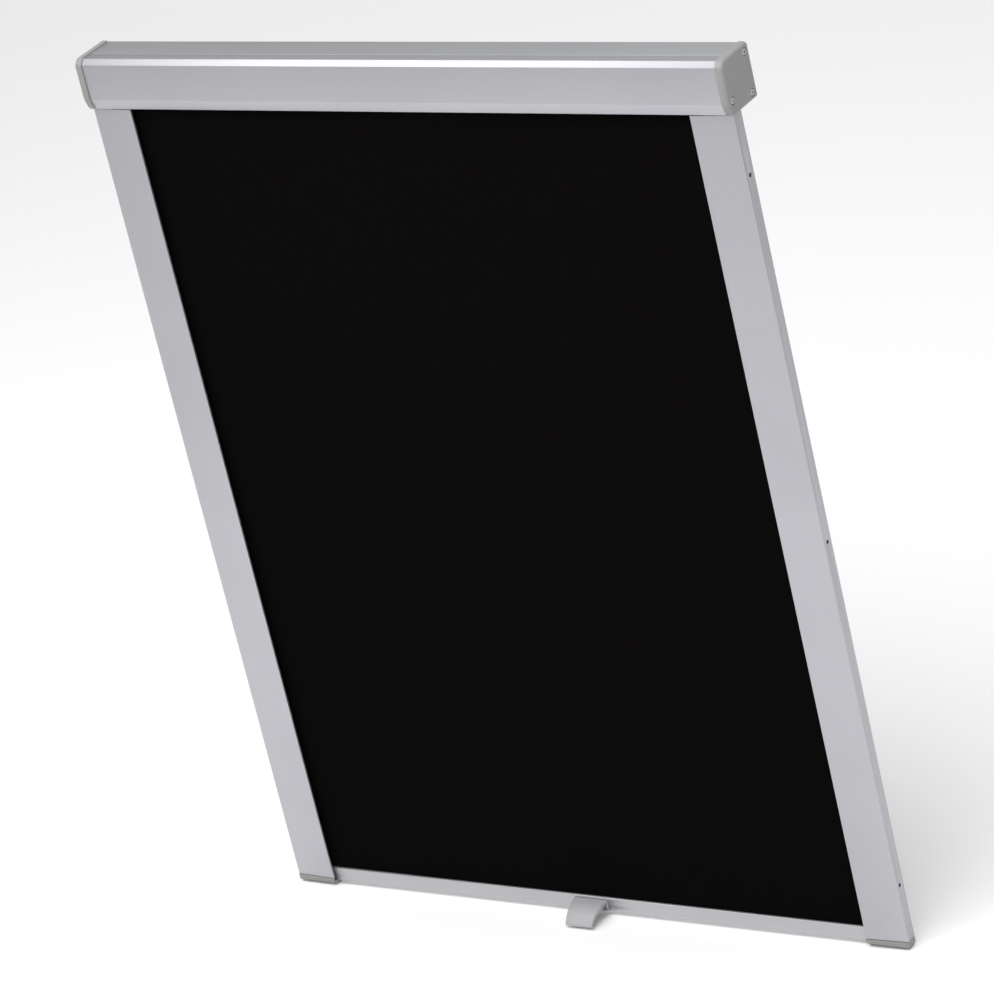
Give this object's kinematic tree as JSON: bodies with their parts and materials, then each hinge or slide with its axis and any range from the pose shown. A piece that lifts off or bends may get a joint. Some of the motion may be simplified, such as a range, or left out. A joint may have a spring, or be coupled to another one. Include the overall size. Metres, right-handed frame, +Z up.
{
  "type": "roof window blackout roller blind",
  "caption": "Cassette roller blind for a roof window: spring roller in a head box, blackout cloth, side rails and a handled bottom bar with brake glides.",
  "frame": {"origin": "middle of the head box's flat back, where it lies on the window", "axes": "+Z up the blind from the rails' feet to the head box, +Y out of the blind's back into the window, +X to the right for someone in the room facing the blind"},
  "size_m": [0.713, 0.068, 0.9158],
  "materials": {
    "head_box_back": "extruded, mill finish",
    "head_box_cover": "extruded, satin silver-grey coating",
    "rail_aluminium": "extruded, satin anodised silver",
    "mill_aluminium": "extruded, mill finish",
    "moulded_grey": "moulded, satin grey",
    "dark_plastic": "moulded, matt dark grey",
    "white_plastic": "extruded rod, natural white",
    "blackout_cloth": "plain weave, opaque coated, matt black",
    "brake_felt": "pressed grey felt and rubber",
    "steel": "bright zinc plated"
  },
  "bodies": {
    "frame": {"head_box_back": "head_box_back", "head_box_cover": "head_box_cover", "end_cap_left": "moulded_grey", "end_cap_right": "moulded_grey", "end_cap_screw_left_upper": "steel", "end_cap_screw_left_lower": "steel", "end_cap_screw_left_front": "steel", "end_cap_screw_right_upper": "steel", "end_cap_screw_right_lower": "steel", "end_cap_screw_right_front": "steel", "spring_spindle": "steel", "torsion_spring": "steel", "spring_anchor": "dark_plastic", "blackout_cloth": "blackout_cloth", "side_rail_left": "rail_aluminium", "side_rail_right": "rail_aluminium", "rail_foot_left": "moulded_grey", "rail_foot_right": "moulded_grey", "rail_foot_screw_left": "steel", "rail_foot_screw_right": "steel", "rail_tongue_left": "dark_plastic", "rail_tongue_right": "dark_plastic"},
    "roller": {"roller_tube": "mill_aluminium", "cloth_roll": "blackout_cloth", "cloth_spline": "white_plastic", "idle_plug": "dark_plastic", "idle_pin": "steel", "spring_plug": "dark_plastic"},
    "bar": {"bottom_bar": "rail_aluminium", "bar_spline": "white_plastic", "handle": "moulded_grey", "handle_screw_left": "steel", "handle_screw_right": "steel", "bar_glide_left": "dark_plastic", "bar_glide_right": "dark_plastic", "brake_spring_left": "steel", "brake_spring_right": "steel"},
    "brake_left": {"brake_shoe_left": "brake_felt"},
    "brake_right": {"brake_shoe_right": "brake_felt"}
  },
  "joints": [
    {"name": "bar_slide", "type": "slide", "parent": "frame", "child": "bar", "axis": [0, 0, 1], "range_m": [0, 0.84], "deforming": ["blackout_cloth"]},
    {"name": "roller_spin", "type": "hinge", "parent": "frame", "child": "roller", "pos_m": [0, -0.0197, 0], "axis": [1, 0, 0], "range_deg": [-3200, 0]},
    {"name": "brake_left_press", "type": "slide", "parent": "bar", "child": "brake_left", "axis": [1, 0, 0], "range_m": [0, 0.0008], "stiffness_N_per_m": 800, "springref_m": -0.002},
    {"name": "brake_right_press", "type": "slide", "parent": "bar", "child": "brake_right", "axis": [-1, 0, 0], "range_m": [0, 0.0008], "stiffness_N_per_m": 800, "springref_m": -0.002}
  ],
  "couplings": [
    {"joint": "roller_spin", "follows": "bar_slide", "rad_per_m": -66.2}
  ]
}
